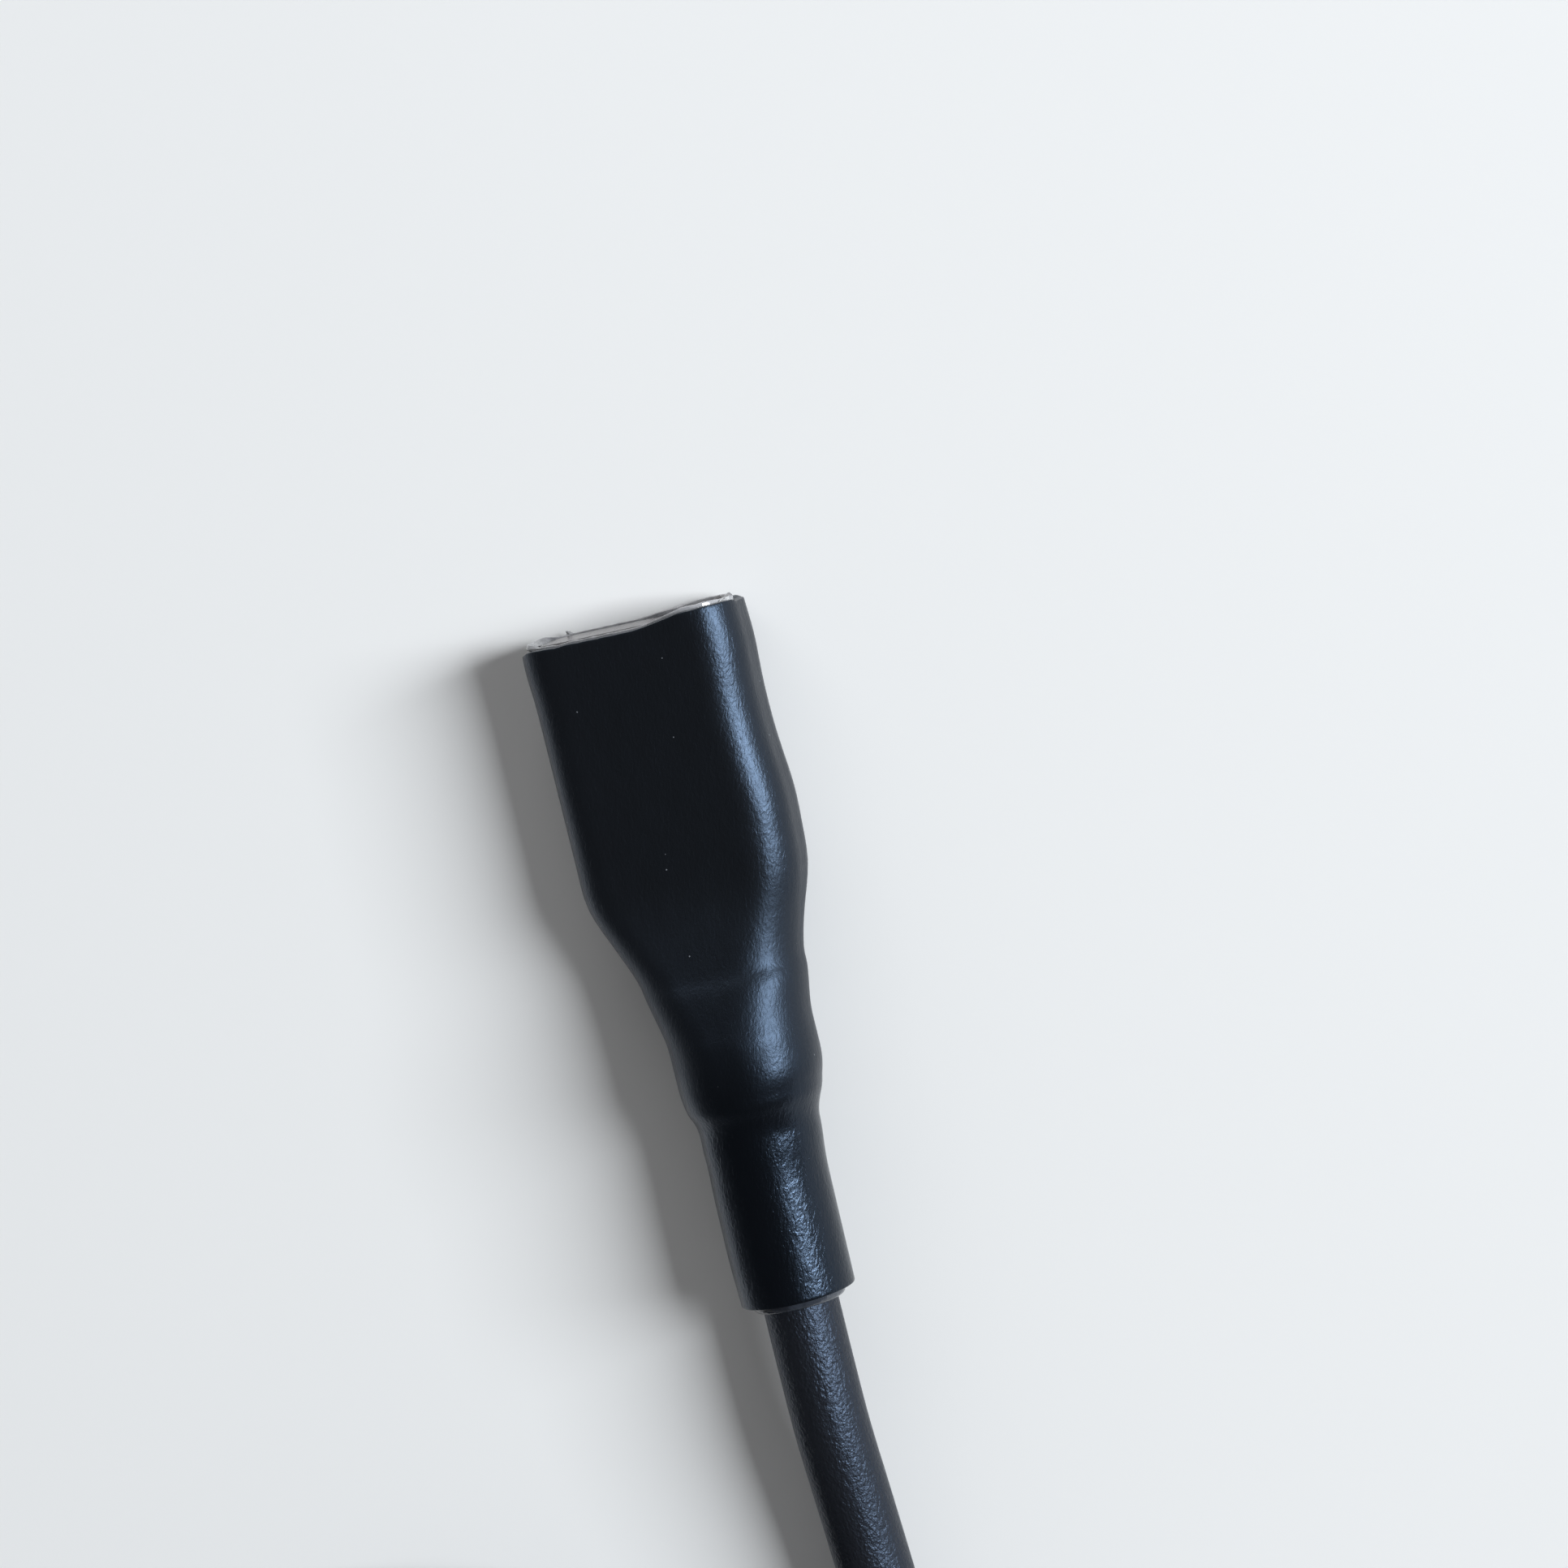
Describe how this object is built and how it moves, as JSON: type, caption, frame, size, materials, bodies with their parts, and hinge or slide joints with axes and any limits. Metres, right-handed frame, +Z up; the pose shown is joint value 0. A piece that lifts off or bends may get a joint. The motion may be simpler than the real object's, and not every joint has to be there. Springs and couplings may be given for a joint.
{
  "type": "cable shutter release",
  "caption": "Wired shutter release: flat sleeved hand switch with a press key in its end, on a round black lead wound into a coil, with a three-contact plug.",
  "frame": {"origin": "middle of the head's footprint on the surface that it lies on", "axes": "+Y along the head towards the key, +Z up from the flat underside, the lead leaves towards -Y"},
  "size_m": [0.0895, 0.1655, 0.0242],
  "materials": {
    "sleeve": "satin black shrink sleeve with fine wrinkles",
    "liner": "clear hot-melt lining",
    "key": "glossy translucent grey",
    "shell": "moulded black",
    "steel": "plain",
    "spring": "drawn wire",
    "leaf": "rolled strip",
    "silver": "silver contact",
    "spacer": "pressed insulating board",
    "block": "moulded insulator",
    "solder": "solder",
    "core_black": "core insulation",
    "core_white": "core insulation",
    "core_red": "core insulation",
    "grommet": "moulded rubber",
    "jacket": "matt black cable jacket",
    "yarn": "loose filler",
    "inner": "shrink sleeve",
    "tie": "woven strap",
    "boot": "moulded black",
    "contact": "plated contact",
    "insulator": "insulating ring"
  },
  "bodies": {
    "head": {"outer_sleeve": "sleeve", "adhesive_liner": "liner", "glue_bead": "liner", "front_shell": "shell", "rear_shell": "shell", "housing_screws": "steel", "return_springs": "spring", "common_leaf": "leaf", "half_press_leaf": "leaf", "release_leaf": "leaf", "contact_points": "silver", "leaf_spacers": "spacer", "clamp_plate": "steel", "contact_block": "block", "pile_screw": "steel", "solder_joints": "solder", "core_common": "core_black", "core_focus": "core_white", "core_release": "core_red", "core_grommet": "grommet", "jacket_end": "jacket", "filler_yarn": "yarn", "crimp_ferrule": "steel", "inner_sleeve": "inner", "cable_lead": "jacket", "cable_coil": "jacket", "cable_tail": "jacket", "coil_tie": "tie", "plug_boot": "boot", "plug_sleeve": "contact", "plug_ring": "contact", "plug_tip": "contact", "plug_insulators": "insulator"},
    "key": {"press_key": "key"}
  },
  "joints": [
    {"name": "key_press", "type": "slide", "parent": "head", "child": "key", "axis": [0, -1, 0], "range_m": [0, 0.0011], "stiffness_N_per_m": 1500, "springref_m": -0.0005, "deforming": ["return_springs", "common_leaf", "half_press_leaf"]}
  ]
}
